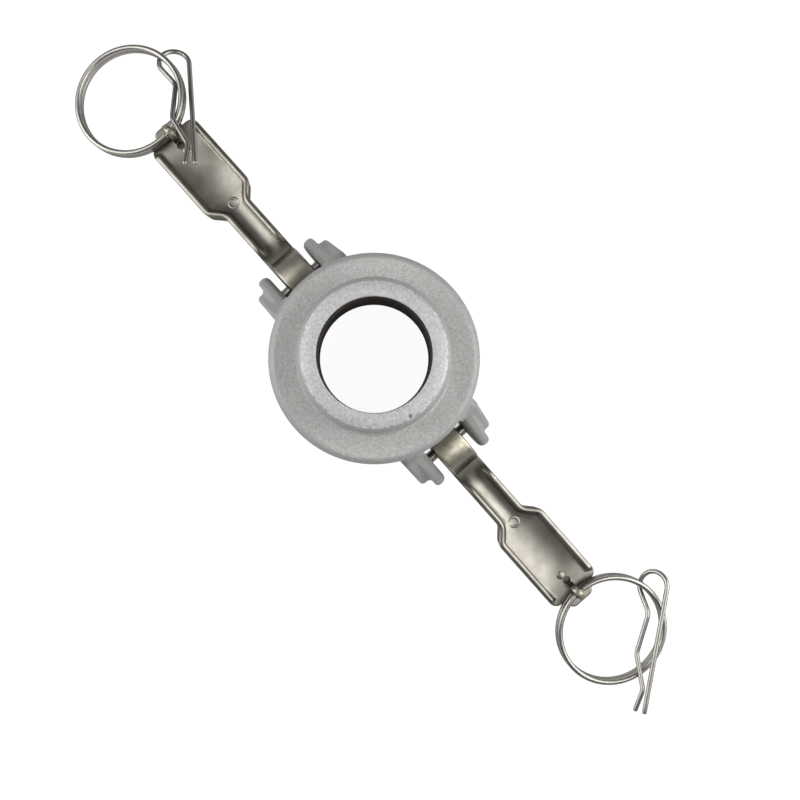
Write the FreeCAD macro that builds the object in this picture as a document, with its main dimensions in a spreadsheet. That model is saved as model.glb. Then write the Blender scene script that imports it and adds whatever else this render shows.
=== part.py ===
import FreeCAD, Part
import math
import os
import re

import Sketcher

# A cam and groove coupler of nominal bore 40, standing on its socket face with both cam arms open.
# Frame: Z up along the pipe axis, origin at the centre of the socket face, arms along X.
# Lengths are in millimetres and angles in degrees.

SIZES = [
    # Turned form of the casting
    ("socket_radius", "27.0", "socket that takes the adapter"),
    ("socket_depth", "32.0", "from the socket face to the gasket"),
    ("body_radius", "35.27", "outside of the socket wall and the shoulder"),
    ("shoulder_thickness", "6.65", "metal above the gasket"),
    ("shoulder_round", "2.6", "rounding of the shoulder's outer edge"),
    ("collar_radius", "24.6", "outside of the pipe collar"),
    ("collar_height", "22.0", "collar above the shoulder"),
    ("collar_bevel", "1.7", "weld bevel at the collar's end"),
    ("collar_root_round", "1.6", "fillet at the collar's foot"),
    ("bore_radius", "18.2", "through bore"),
    ("bore_round", "0.5", "broken edge of the bore"),
    ("foot_chamfer", "1.0", "outer edge of the socket face"),
    # Gasket and its recess
    ("gasket_radius", "27.8", "outside of the gasket"),
    ("gasket_bore", "20.65", "hole radius of the gasket"),
    ("gasket_thickness", "6.3", "gasket"),
    ("gasket_round", "0.8", "moulded edge of the gasket"),
    ("gasket_play", "0.05", "room above and below the gasket"),
    ("recess_play", "0.3", "room outside the gasket"),
    # Pins and the ears of the casting
    ("pin_radius", "2.0", "pivot pin"),
    ("pin_offset", "38.6", "pin axis from the pipe axis"),
    ("pin_height", "16.0", "pin axis above the socket face"),
    ("pin_chamfer", "0.4", "ends of the pin"),
    ("pin_inset", "0.3", "pin ends below the ear faces"),
    ("pin_play", "0.05", "running clearance of arm on pin"),
    ("ear_gap", "16.4", "room between two ears"),
    ("ear_plate", "4.4", "thickness of an ear's long inner plate"),
    ("ear_plate_radius", "9.6", "rounded end of the plate about the pin"),
    ("ear_boss", "3.7", "thickness of an ear's short outer boss"),
    ("ear_boss_radius", "5.6", "rounded end of the boss about the pin"),
    ("ear_top", "36.0", "where the ears' sloped backs meet the wall"),
    ("ear_round", "1.5", "rounding of the ears' outer edges"),
    ("window_low", "4.8", "sill of the cam window"),
    ("window_high", "30.5", "head of the cam window"),
    # Cam arm, measured from its pin
    ("cam_width", "11.8", "cam head"),
    ("cam_radius", "10.0", "eccentric of the cam head"),
    ("cam_throw", "3.0", "eccentric's centre from the pin"),
    ("cam_lead", "83.4", "direction of the throw from the arm's line"),
    ("neck_width", "11.2", "neck"),
    ("neck_length", "35.7", "from the pin to the shoulders' start"),
    ("arm_shoulder", "5.0", "length over which the neck widens"),
    ("paddle_width", "20.4", "wide part"),
    ("paddle_overhang", "0.8", "wide part beyond the strap's eye"),
    ("paddle_round", "3.2", "corners of the wide part"),
    ("arm_sweep", "4.5", "radius where neck and wide part meet"),
    ("rim_width", "2.5", "raised rim along both edges"),
    ("rim_rise", "1.6", "rim above the web"),
    ("rim_round", "1.0", "rounding of the rim"),
    ("rim_setback", "3.2", "from the strap's eye back to where the rims slope down to the web"),
    ("rim_slope", "2.0", "length of that slope"),
    ("web_thickness", "2.2", "web between the rims"),
    ("skirt_depth", "4.7", "rim below the web"),
    ("web_start", "15.5", "from the pin to the start of the web"),
    ("tab_width", "10.8", "end tab"),
    ("tab_overhang", "5.1", "tab beyond the strap's eye"),
    ("tab_round", "2.6", "corners of the tab"),
    ("strap_reach", "72.2", "from the pin to the strap's eye"),
    ("strap_eye", "2.5", "half the width of the eye"),
    ("strap_spring", "3.35", "from the web to where the eye's arch begins"),
    ("strap_thickness", "0.85", "strap over the eye"),
    ("strap_width", "3.1", "strap along the ring"),
    ("strap_round", "0.4", "strap edges"),
    ("relief_radius", "1.5", "relief hole beside the strap"),
    ("relief_land", "0.2", "metal between the hole and the strap"),
    ("floor_play", "0.05", "least height of arms, rings and clips above the floor"),
    # Split ring
    ("ring_radius", "19.6", "middle of the wire"),
    ("ring_wire_width", "2.0", "wire across the ring"),
    ("ring_wire_height", "2.35", "wire along the ring's axis"),
    ("ring_wire_round", "0.85", "corners of the wire"),
    ("ring_turn_gap", "0.1", "between the two turns"),
    ("ring_ramp", "26.0", "angle over which the wire changes plane"),
    ("ring_end_gap", "3.0", "angle between a wire end and the ramp"),
    # R-clip, a bent wire: straight leg, bow and wavy leg
    ("clip_wire", "0.9", "radius of the clip's wire"),
    ("clip_leg", "45.9", "straight leg up to the bow"),
    ("clip_bow", "5.4", "radius of the bow"),
    ("clip_pinch_reach", "35.8", "from the straight leg's tip to the pinch"),
    ("clip_pinch", "5.3", "wavy leg from the straight leg at the pinch"),
    ("clip_hump_reach", "20.4", "from the tip to the hump"),
    ("clip_hump", "7.2", "wavy leg from the straight leg at the hump"),
    ("clip_dip_reach", "8.3", "from the tip to the dip"),
    ("clip_dip", "2.1", "wavy leg from the straight leg at the dip"),
    ("clip_flare_reach", "-0.1", "from the straight leg's tip to the wavy leg's end"),
    ("clip_flare", "3.8", "wavy leg from the straight leg at its end"),
    ("clip_bend", "5.0", "bend radius of the wavy leg"),
    ("clip_bow_run", "2.0", "straight stretch after the bow"),
    # How rings and clips lie: angles about each ring's axis and about its wire
    ("ring_a_swing", "1.1", "first ring's turn about its strap"),
    ("ring_a_roll", "0.0", "first ring's lean to its side"),
    ("ring_a_seat", "0.1", "first ring above the tab"),
    ("ring_b_swing", "9.0", "second ring's turn about its strap"),
    ("ring_b_roll", "-3.0", "second ring's lean to its side"),
    ("ring_b_seat", "0.8", "second ring above the tab"),
    ("ring_ramp_place", "43.0", "where the wire changes plane"),
    ("clip_a_place", "93.0", "first clip's bow along its ring"),
    ("clip_a_out", "2.3", "bow's centre outside the middle of the wire"),
    ("clip_a_lift", "0.4", "bow's centre above the middle of the ring"),
    ("clip_a_heading", "127.1", "direction of its straight leg"),
    ("clip_a_pitch", "4.0", "fall of the leg towards the bow"),
    ("clip_a_roll", "-47.7", "turn about the leg"),
    ("clip_b_place", "-94.3", "second clip's bow along its ring"),
    ("clip_b_out", "1.5", "bow's centre outside the middle of the wire"),
    ("clip_b_lift", "-4.65", "bow's centre above the middle of the ring"),
    ("clip_b_heading", "-39.8", "direction of its straight leg"),
    ("clip_b_pitch", "18.8", "fall of the leg towards the bow"),
    ("clip_b_roll", "21.4", "turn about the leg"),
]

os.makedirs("parts", exist_ok=True)
doc = FreeCAD.newDocument("cam_and_groove_coupler")
Vector = FreeCAD.Vector

sheet = doc.addObject("Spreadsheet::Sheet", "Sizes")
for row, (alias, value, meaning) in enumerate(SIZES, start=1):
    sheet.set(f"A{row}", alias)
    sheet.set(f"B{row}", value)
    sheet.setAlias(f"B{row}", alias)
    sheet.set(f"C{row}", meaning)
workings = doc.addObject("Spreadsheet::Sheet", "Workings")
doc.recompute()

ALIASES = [alias for alias, value, meaning in SIZES]
POINTS = ("edge", "start", "end", "centre")
ORIGIN = (-1, 1)


def linked(formula):
    """A formula written with the sheet's aliases, as an expression that objects can be bound to."""
    def link(match):
        word = match.group(0)
        return f"Sizes.{word}" if word in ALIASES else word
    return re.sub(r"[a-z_]+", link, str(formula))


def size(formula):
    """Value of a formula written with the sheet's aliases."""
    workings.set("A1", "=" + linked(formula))
    workings.recompute()
    return float(workings.get("A1"))


def bind(target, **formulas):
    """Binds properties of a feature to formulas."""
    for name, formula in formulas.items():
        target.setExpression(name, linked(formula))


# Sketches and features of a body

def new_body(name):
    body = doc.addObject("PartDesign::Body", name)
    body.Label = name
    return body


def new_sketch(body, name, role, lift="0"):
    """A sketch on one of the body's origin planes, lifted along the plane's normal."""
    sketch = body.newObject("Sketcher::SketchObject", name)
    planes = [plane for plane in body.Origin.OriginFeatures if plane.Role == role]
    sketch.AttachmentSupport = [(planes[0], "")]
    sketch.MapMode = "FlatFace"
    sketch.setExpression("AttachmentOffset.Base.z", linked(lift))
    return sketch


def measure(sketch, kind, geometry, formula, point=None):
    """Adds a measured constraint and binds it to its formula."""
    place = [geometry] if point is None else [*ORIGIN, geometry, POINTS.index(point)]
    index = sketch.addConstraint(Sketcher.Constraint(kind, *place, size(formula)))
    sketch.setExpression(f"Constraints[{index}]", linked(formula))


def hold(sketch, geometry, point, across, up):
    """Holds one point of a sketch at two formulas, measured from the sketch's origin."""
    measure(sketch, "DistanceX", geometry, across, point)
    measure(sketch, "DistanceY", geometry, up, point)


def polygon(sketch, corners):
    """A closed outline of straight lines through corners that are pairs of formulas."""
    points = [Vector(size(across), size(up), 0) for across, up in corners]
    for index, point in enumerate(points):
        following = points[(index + 1) % len(points)]
        sketch.addGeometry(Part.LineSegment(point, following), False)
    for index, (across, up) in enumerate(corners):
        following = (index + 1) % len(corners)
        sketch.addConstraint(Sketcher.Constraint("Coincident", index, 2, following, 1))
        hold(sketch, index, "start", across, up)
    return sketch


def circle(sketch, across, up, radius):
    centre = Vector(size(across), size(up), 0)
    sketch.addGeometry(Part.Circle(centre, Vector(0, 0, 1), size(radius)), False)
    hold(sketch, 0, "centre", across, up)
    measure(sketch, "Radius", 0, radius)
    return sketch


def revolve(body, name, sketch):
    """Turns a sketch on the XZ plane about the body's Z axis."""
    feature = body.newObject("PartDesign::Revolution", name)
    feature.Profile = sketch
    feature.ReferenceAxis = (sketch, ["V_Axis"])
    feature.Angle = 360.0
    sketch.Visibility = False
    return feature


def pad(body, name, sketch, length, below="0"):
    """Pads a sketch along its normal, and also the other way by below."""
    feature = body.newObject("PartDesign::Pad", name)
    feature.Profile = sketch
    feature.SideType = "One side" if below == "0" else "Two sides"
    bind(feature, Length=length)
    if below != "0":
        bind(feature, Length2=below)
    return feature


def pocket(body, name, sketch, length, below="0", reverse=False):
    """Cuts a sketch against its normal, and also the other way by below."""
    feature = body.newObject("PartDesign::Pocket", name)
    feature.Profile = sketch
    feature.SideType = "One side" if below == "0" else "Two sides"
    feature.Reversed = reverse
    bind(feature, Length=length)
    if below != "0":
        bind(feature, Length2=below)
    return feature


def edges_of(feature, wanted):
    """Names of the feature's edges that a test accepts."""
    edges = feature.Shape.Edges
    return [f"Edge{index}" for index, edge in enumerate(edges, start=1) if wanted(edge)]


def fillet(body, name, base, radius, wanted):
    """Rounds the edges of the base feature that a test accepts."""
    doc.recompute()
    feature = body.newObject("PartDesign::Fillet", name)
    feature.Base = (base, edges_of(base, wanted))
    bind(feature, Radius=radius)
    return feature


def near(value, target, slack=0.01):
    return abs(value - target) < slack


def hoop_at(radius, height):
    """Test for the full circles about the Z axis at a radius and a height."""
    def wanted(edge):
        box = edge.BoundBox
        round_here = near(box.ZMin, size(height)) and near(box.ZMax, size(height))
        return round_here and near(box.XMax, size(radius)) and near(box.XMin, -size(radius))
    return wanted


# The casting

SHOULDER_TOP = "socket_depth + gasket_thickness + 2 * gasket_play + shoulder_thickness"
COLLAR_END = SHOULDER_TOP + " + collar_height"
RECESS_TOP = "socket_depth + gasket_thickness + 2 * gasket_play"
RECESS_RADIUS = "gasket_radius + recess_play"
MID_WALL = "(socket_radius + body_radius) / 2"


def make_casting():
    body = new_body("coupler_body")
    profile = polygon(new_sketch(body, "turned_profile", "XZ_Plane"), [
        ("socket_radius", "0"),
        ("body_radius - foot_chamfer", "0"),
        ("body_radius", "foot_chamfer"),
        ("body_radius", SHOULDER_TOP),
        ("collar_radius", SHOULDER_TOP),
        ("collar_radius", COLLAR_END + " - collar_bevel"),
        ("collar_radius - collar_bevel", COLLAR_END),
        ("bore_radius", COLLAR_END),
        ("bore_radius", RECESS_TOP),
        (RECESS_RADIUS, RECESS_TOP),
        (RECESS_RADIUS, "socket_depth"),
        ("socket_radius", "socket_depth"),
    ])
    turned = revolve(body, "turned_form", profile)
    shoulder = fillet(body, "shoulder_edge", turned, "shoulder_round", hoop_at("body_radius", SHOULDER_TOP))
    root = fillet(body, "collar_root", shoulder, "collar_root_round", hoop_at("collar_radius", SHOULDER_TOP))
    fillet(body, "bore_edge", root, "bore_round", hoop_at("bore_radius", COLLAR_END))

    plate = pad_ear(body, "ear_plate_form", "ear_plate_radius", "ear_gap / 2 + ear_plate")
    boss = pad_ear(body, "ear_boss_form", "ear_boss_radius", "ear_gap / 2 + ear_plate + ear_boss")
    window = pocket(body, "cam_window", window_outline(body), "ear_gap / 2", "ear_gap / 2")
    hole_outline = new_sketch(body, "pin_hole_outline", "XZ_Plane")
    circle(hole_outline, "pin_offset", "pin_height", "pin_radius")
    hole = pocket(body, "pin_hole", hole_outline, "body_radius", "body_radius")
    doc.recompute()

    pair = body.newObject("PartDesign::PolarPattern", "both_sides")
    pair.Originals = [plate, boss, window, hole]
    pair.Axis = (profile, ["V_Axis"])
    pair.Angle = 360.0
    pair.Occurrences = 2
    body.Tip = pair
    rounded = fillet(body, "ear_edges", pair, "ear_round", ear_outer_edge)
    body.Tip = rounded
    return body


def pad_ear(body, name, radius, half_width):
    """Pads an ear outline: an arc about the pin, a level sole and a sloped back that meets the wall."""
    sketch = new_sketch(body, name + "_outline", "XZ_Plane")
    pin = Vector(size("pin_offset"), size("pin_height"), 0)
    reach = size(radius)
    inner = size(MID_WALL)
    top = Vector(size("body_radius"), size("ear_top"), 0)
    rise = top - pin
    turn = math.atan2(rise.y, rise.x) - math.acos(reach / rise.Length)
    touch = pin + Vector(math.cos(turn), math.sin(turn), 0) * reach
    sole = pin - Vector(0, reach, 0)
    wall_low = Vector(inner, sole.y, 0)
    wall_high = Vector(inner, top.y, 0)
    arc = Part.ArcOfCircle(Part.Circle(pin, Vector(0, 0, 1), reach), -math.pi / 2, turn)
    sketch.addGeometry([
        arc,
        Part.LineSegment(touch, top),
        Part.LineSegment(top, wall_high),
        Part.LineSegment(wall_high, wall_low),
        Part.LineSegment(wall_low, sole),
    ], False)
    sketch.addConstraint([
        Sketcher.Constraint("Tangent", 0, 2, 1, 1),
        Sketcher.Constraint("Coincident", 1, 2, 2, 1),
        Sketcher.Constraint("Coincident", 2, 2, 3, 1),
        Sketcher.Constraint("Coincident", 3, 2, 4, 1),
        Sketcher.Constraint("Tangent", 4, 2, 0, 1),
        Sketcher.Constraint("Horizontal", 2),
        Sketcher.Constraint("Vertical", 3),
        Sketcher.Constraint("Horizontal", 4),
    ])
    hold(sketch, 0, "centre", "pin_offset", "pin_height")
    hold(sketch, 2, "start", "body_radius", "ear_top")
    measure(sketch, "Radius", 0, radius)
    measure(sketch, "DistanceX", 3, MID_WALL, "start")
    return pad(body, name, sketch, half_width, half_width)


def window_outline(body):
    """The gap between the ears, which goes on as a window through the socket wall."""
    outside = "pin_offset + 2 * ear_plate_radius"
    inside = "socket_radius / 2"
    flat = "body_radius - foot_chamfer"
    above = "ear_top + foot_chamfer"
    return polygon(new_sketch(body, "window_outline", "XZ_Plane"), [
        (inside, "window_low"),
        (outside, "window_low"),
        (outside, above),
        (flat, above),
        (flat, "window_high"),
        (inside, "window_high"),
    ])


def ear_outer_edge(edge):
    """Test for the rims of the ears' outward faces."""
    box = edge.BoundBox
    plate = size("ear_gap / 2 + ear_plate")
    boss = size("ear_gap / 2 + ear_plate + ear_boss")
    outside = min(abs(box.XMin), abs(box.XMax)) > size("body_radius") - 2
    level = near(box.YMin, box.YMax)
    on_plate = near(abs(box.YMax), plate)
    on_boss = near(abs(box.YMax), boss)
    return outside and level and (on_plate or on_boss) and edge.Length > 1


def level_edge(edge):
    """Test for edges that lie level."""
    return near(edge.BoundBox.ZMin, edge.BoundBox.ZMax)


def cross_edge(edge):
    """Test for edges that lie in a plane across Y."""
    return near(edge.BoundBox.YMin, edge.BoundBox.YMax)


# The gasket

def make_gasket():
    body = new_body("gasket")
    profile = polygon(new_sketch(body, "gasket_profile", "XZ_Plane"), [
        ("gasket_bore", "0"),
        ("gasket_radius", "0"),
        ("gasket_radius", "gasket_thickness"),
        ("gasket_bore", "gasket_thickness"),
    ])
    turned = revolve(body, "gasket_ring", profile)
    fillet(body, "gasket_edges", turned, "gasket_round", level_edge)
    return body


# The cam arm, in its own frame: origin on the pin axis, X along the arm, Z up through the cam

NECK = "neck_width / 2"
PADDLE = "paddle_width / 2"
WIDE_START = "neck_length + arm_shoulder"
PADDLE_END = "(strap_reach + paddle_overhang)"
RIM_END = "(strap_reach - rim_setback)"
TAB_END = "strap_reach + tab_overhang"
RELIEF_REACH = "strap_reach - strap_eye - strap_thickness - relief_land - relief_radius"
INSET_SHIFT = "rim_width * tan(atan((paddle_width - neck_width) / 2 / arm_shoulder) / 2)"


def arm_outline(start, end, inset, shift):
    """Plan of the arm from start to end, drawn inside its edge by an inset."""
    neck = f"{NECK} - {inset}"
    paddle = f"{PADDLE} - {inset}"
    side = [
        (start, neck),
        (f"neck_length + {shift}", neck),
        (f"{WIDE_START} + {shift}", paddle),
        (end, paddle),
    ]
    return [(along, f"-({across})") for along, across in side] + side[::-1]


def arched(sketch, across, foot, spring, radius):
    """A closed outline with two upright sides, a level foot and a half-round top."""
    centre = Vector(size(across), size(spring), 0)
    reach = size(radius)
    left = centre.x - reach
    right = centre.x + reach
    low = size(foot)
    arc = Part.ArcOfCircle(Part.Circle(centre, Vector(0, 0, 1), reach), 0, math.pi)
    sketch.addGeometry([
        arc,
        Part.LineSegment(Vector(left, centre.y, 0), Vector(left, low, 0)),
        Part.LineSegment(Vector(left, low, 0), Vector(right, low, 0)),
        Part.LineSegment(Vector(right, low, 0), Vector(right, centre.y, 0)),
    ], False)
    sketch.addConstraint([
        Sketcher.Constraint("Tangent", 0, 2, 1, 1),
        Sketcher.Constraint("Coincident", 1, 2, 2, 1),
        Sketcher.Constraint("Coincident", 2, 2, 3, 1),
        Sketcher.Constraint("Tangent", 3, 2, 0, 1),
        Sketcher.Constraint("Vertical", 1),
        Sketcher.Constraint("Horizontal", 2),
    ])
    hold(sketch, 0, "centre", across, spring)
    measure(sketch, "Radius", 0, radius)
    measure(sketch, "DistanceY", 2, foot, "start")
    return sketch


def upright_at(across, up):
    """Test for straight upright edges at a place in plan, on both sides of the arm."""
    def wanted(edge):
        box = edge.BoundBox
        tall = box.ZLength > 0.5
        thin = box.XLength < 0.01 and box.YLength < 0.01
        return tall and thin and near(box.XMin, size(across)) and near(abs(box.YMin), size(up))
    return wanted


def make_arm(name):
    body = new_body(name)
    centre_across = "cam_throw * cos(cam_lead)"
    centre_up = "cam_throw * sin(cam_lead)"
    disc = circle(new_sketch(body, name + "_cam_outline", "XZ_Plane"), centre_across, centre_up, "cam_radius")
    cam = pad(body, name + "_cam", disc, "cam_width / 2", "cam_width / 2")
    fillet(body, name + "_cam_edges", cam, "rim_round", cross_edge)

    outer = arm_outline("0", PADDLE_END, "0", "0")
    plan = polygon(new_sketch(body, name + "_plan", "XY_Plane"), outer)
    blade = pad(body, name + "_blade", plan, "rim_rise", "web_thickness + skirt_depth")
    necked = fillet(body, name + "_neck_sweep", blade, "arm_sweep", upright_at("neck_length", NECK))
    widened = fillet(body, name + "_wide_sweep", necked, "arm_sweep", upright_at(WIDE_START, PADDLE))
    fillet(body, name + "_end_corners", widened, "paddle_round", upright_at(PADDLE_END, PADDLE))

    inner = arm_outline("web_start", "2 * " + PADDLE_END, "rim_width", INSET_SHIFT)
    trough = polygon(new_sketch(body, name + "_trough_outline", "XY_Plane"), inner)
    top = pocket(body, name + "_trough", trough, "2 * rim_rise", reverse=True)
    fillet(body, name + "_rim_crest", top, "rim_round", rim_top_edge)
    slope = polygon(new_sketch(body, name + "_rim_slope_outline", "XZ_Plane"), [
        (RIM_END, "2 * rim_rise"),
        (RIM_END, "rim_rise"),
        (RIM_END + " + rim_slope", "0"),
        (TAB_END, "0"),
        (TAB_END, "2 * rim_rise"),
    ])
    pocket(body, name + "_rim_slope", slope, "paddle_width", "paddle_width")

    inner = arm_outline("web_start", PADDLE_END + " - rim_width", "rim_width", INSET_SHIFT)
    hollow = polygon(new_sketch(body, name + "_hollow_outline", "XY_Plane", "-web_thickness"), inner)
    pocket(body, name + "_hollow", hollow, "2 * skirt_depth")

    tab_side = "tab_width / 2"
    tab_start = PADDLE_END + " - rim_width"
    tab = polygon(new_sketch(body, name + "_tab_outline", "XY_Plane"), [
        (tab_start, f"-{tab_side}"),
        (TAB_END, f"-{tab_side}"),
        (TAB_END, tab_side),
        (tab_start, tab_side),
    ])
    plate = pad_tab(body, name, tab)
    fillet(body, name + "_tab_corners", plate, "tab_round", upright_at(TAB_END, tab_side))

    outline = new_sketch(body, name + "_strap_outline", "XZ_Plane")
    arched(outline, "strap_reach", "-web_thickness / 2", "strap_spring", "strap_eye + strap_thickness")
    strap = pad(body, name + "_strap", outline, "strap_width / 2", "strap_width / 2")
    fillet(body, name + "_strap_edges", strap, "strap_round", strap_edge)
    outline = new_sketch(body, name + "_eye_outline", "XZ_Plane")
    arched(outline, "strap_reach", "0", "strap_spring", "strap_eye")
    pocket(body, name + "_eye", outline, "strap_width", "strap_width")

    outline = new_sketch(body, name + "_relief_outline", "XY_Plane")
    relief = circle(outline, RELIEF_REACH, "0", "relief_radius")
    pocket(body, name + "_relief", relief, "2 * web_thickness", "rim_rise")
    hole = circle(new_sketch(body, name + "_pin_hole_outline", "XZ_Plane"), "0", "0", "pin_radius + pin_play")
    last = pocket(body, name + "_pin_hole", hole, "cam_width", "cam_width")
    body.Tip = last
    return body


def pad_tab(body, name, outline):
    """The flat tab, level with the web."""
    feature = body.newObject("PartDesign::Pad", name + "_tab")
    feature.Profile = outline
    feature.Reversed = True
    bind(feature, Length="web_thickness")
    return feature


def rim_top_edge(edge):
    """Test for the long edges of the raised rims."""
    box = edge.BoundBox
    level = near(box.ZMin, size("rim_rise")) and near(box.ZMax, size("rim_rise"))
    return level and box.XMax > size("web_start") - 0.1


def strap_edge(edge):
    """Test for the rims of the strap's two faces above the web."""
    box = edge.BoundBox
    at_side = near(abs(box.YMin), size("strap_width / 2")) and near(box.YMin, box.YMax)
    return at_side and box.ZMax > 0.5 and box.XMin > size("strap_reach - 2 * strap_eye")


# Pins, rings and clips

def make_pin(name):
    """A plain dowel, laid along Y, with broken ends."""
    length = "ear_gap + 2 * (ear_plate + ear_boss) - 2 * pin_inset"
    rod = doc.addObject("Part::Cylinder", name + "_rod")
    bind(rod, Radius="pin_radius", Height=length)
    doc.recompute()
    pin = doc.addObject("Part::Chamfer", name)
    pin.Base = rod
    ends = edges_of(rod, lambda edge: near(edge.BoundBox.ZMin, edge.BoundBox.ZMax))
    numbers = [int(edge.replace("Edge", "")) for edge in ends]
    pin.Edges = [(number, size("pin_chamfer"), size("pin_chamfer")) for number in numbers]
    pin.Label = name
    return pin


def rounded_rectangle(width, height, radius):
    """A closed wire in the XZ plane, centred on the origin."""
    across = width / 2
    up = height / 2
    sides = [
        (Vector(-across, 0, -up), Vector(across, 0, -up)),
        (Vector(across, 0, -up), Vector(across, 0, up)),
        (Vector(across, 0, up), Vector(-across, 0, up)),
        (Vector(-across, 0, up), Vector(-across, 0, -up)),
    ]
    edges = []
    for index, (start, end) in enumerate(sides):
        along = (end - start).normalize()
        leaving = (sides[(index + 1) % 4][1] - end).normalize()
        edges.append(Part.makeLine(start + along * radius, end - along * radius))
        hub = end - along * radius + leaving * radius
        middle = hub + (along - leaving).normalize() * radius
        edges.append(Part.Arc(end - along * radius, middle, end + leaving * radius).toShape())
    return Part.Wire(edges)


def ring_point(turn, height):
    radius = size("ring_radius")
    return Vector(radius * math.cos(turn), radius * math.sin(turn), height)


def ring_arc(start, end, height):
    middle = ring_point((start + end) / 2, height)
    return Part.Arc(ring_point(start, height), middle, ring_point(end, height)).toShape()


def split_ring_shape():
    """Two turns of one wire about Z: a lower turn, a ramp to the upper plane and an upper turn."""
    half_ramp = math.radians(size("ring_ramp")) / 2
    place = math.radians(size("ring_ramp_place"))
    gap = math.radians(size("ring_end_gap"))
    level = size("(ring_wire_height + ring_turn_gap) / 2")
    start = place + half_ramp + gap
    ramp_start = place + 2 * math.pi - half_ramp
    ramp_end = place + 2 * math.pi + half_ramp
    end = place + 4 * math.pi - half_ramp - gap
    steps = 8
    points = []
    for step in range(steps + 1):
        share = step / steps
        height = -level * math.cos(math.pi * share)
        points.append(ring_point(ramp_start + (ramp_end - ramp_start) * share, height))
    ramp = Part.BSplineCurve()
    leaving = Vector(-math.sin(ramp_start), math.cos(ramp_start), 0)
    arriving = Vector(-math.sin(ramp_end), math.cos(ramp_end), 0)
    ramp.interpolate(Points=points, InitialTangent=leaving, FinalTangent=arriving)
    path = Part.Wire([ring_arc(start, ramp_start, -level), ramp.toShape(), ring_arc(ramp_end, end, level)])
    section = rounded_rectangle(size("ring_wire_width"), size("ring_wire_height"), size("ring_wire_round"))
    section.rotate(Vector(), Vector(0, 0, 1), math.degrees(start))
    section.translate(ring_point(start, -level))
    pipe = Part.BRepOffsetAPI.MakePipeShell(path)
    pipe.setBiNormalMode(Vector(0, 0, 1))
    pipe.add(section)
    pipe.build()
    pipe.makeSolid()
    return pipe.shape()


def bent_path(corners, radii):
    """Straight runs through the corners, joined by tangent arcs of the given radii."""
    edges = []
    here = corners[0]
    for index in range(1, len(corners) - 1):
        corner = corners[index]
        inward = (corner - corners[index - 1]).normalize()
        outward = (corners[index + 1] - corner).normalize()
        half_turn = inward.getAngle(outward) / 2
        radius = radii[index - 1]
        setback = radius * math.tan(half_turn)
        arc_start = corner - inward * setback
        arc_end = corner + outward * setback
        hub = corner + (outward - inward).normalize() * (radius / math.cos(half_turn))
        middle = hub + (corner - hub).normalize() * radius
        edges.append(Part.makeLine(here, arc_start))
        edges.append(Part.Arc(arc_start, middle, arc_end).toShape())
        here = arc_end
    edges.append(Part.makeLine(here, corners[-1]))
    return edges


def clip_shape():
    """A bent wire in the XY plane: straight leg along X from its tip, round bow and wavy leg."""
    leg = size("clip_leg")
    bow = size("clip_bow")
    straight = Part.makeLine(Vector(), Vector(leg, 0, 0))
    turn = Part.Arc(Vector(leg, 0, 0), Vector(leg + bow, bow, 0), Vector(leg, 2 * bow, 0)).toShape()
    corners = [
        Vector(leg, 2 * bow, 0),
        Vector(leg - size("clip_bow_run"), 2 * bow, 0),
        Vector(size("clip_pinch_reach"), size("clip_pinch"), 0),
        Vector(size("clip_hump_reach"), size("clip_hump"), 0),
        Vector(size("clip_dip_reach"), size("clip_dip"), 0),
        Vector(size("clip_flare_reach"), size("clip_flare"), 0),
    ]
    bends = [size("clip_bend")] * (len(corners) - 2)
    path = Part.Wire([straight, turn] + bent_path(corners, bends))
    section = Part.Wire(Part.makeCircle(size("clip_wire"), Vector(), Vector(1, 0, 0)))
    return path.makePipeShell([section], True, False)


def feature(name, shape):
    item = doc.addObject("Part::Feature", name)
    item.Label = name
    item.Shape = shape
    return item


# How everything stands

def moved(x=0.0, y=0.0, z=0.0):
    return FreeCAD.Placement(Vector(x, y, z), FreeCAD.Rotation())


def turned(axis, angle):
    return FreeCAD.Placement(Vector(), FreeCAD.Rotation(axis, angle))


AXIS_X = Vector(1, 0, 0)
AXIS_Y = Vector(0, 1, 0)
AXIS_Z = Vector(0, 0, 1)


def arm_placement():
    """An open arm, resting on the end of its skirt."""
    drop = size("pin_height - floor_play")
    reach = size(PADDLE_END)
    depth = size("web_thickness + skirt_depth")
    fall = math.asin(drop / math.hypot(reach, depth)) - math.atan2(depth, reach)
    return moved(size("pin_offset"), 0, size("pin_height")).multiply(turned(AXIS_Y, math.degrees(fall)))


def leaning(strap, swing, fall, roll):
    return strap.multiply(turned(AXIS_Z, swing)).multiply(turned(AXIS_Y, fall)).multiply(turned(AXIS_X, roll))


def lowest(lean):
    """Height of the lowest point of a ring that leans from its strap."""
    radius = size("ring_radius")
    axis = lean.Rotation.multVec(AXIS_Z)
    middle = lean.multVec(AXIS_X * radius).z
    level = math.hypot(axis.x, axis.y)
    stack = size("ring_wire_height + ring_turn_gap / 2") * axis.z
    return middle - (radius + size("ring_wire_width / 2")) * level - stack


def ring_placement(letter):
    """A ring that hangs in its strap and lies on the floor with its far side."""
    seat = size(f"ring_wire_height + ring_turn_gap / 2 + ring_{letter}_seat")
    hook = arm_placement().multVec(Vector(size("strap_reach"), 0, seat))
    strap = moved(hook.x, hook.y, hook.z)
    swing = size(f"ring_{letter}_swing")
    roll = size(f"ring_{letter}_roll")
    play = size("floor_play")
    shallow, steep = 0.0, 45.0
    while steep - shallow > 0.001:
        middle = (shallow + steep) / 2
        if lowest(leaning(strap, swing, middle, roll)) > play:
            shallow = middle
        else:
            steep = middle
    return leaning(strap, swing, shallow, roll).multiply(moved(size("ring_radius")))


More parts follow.
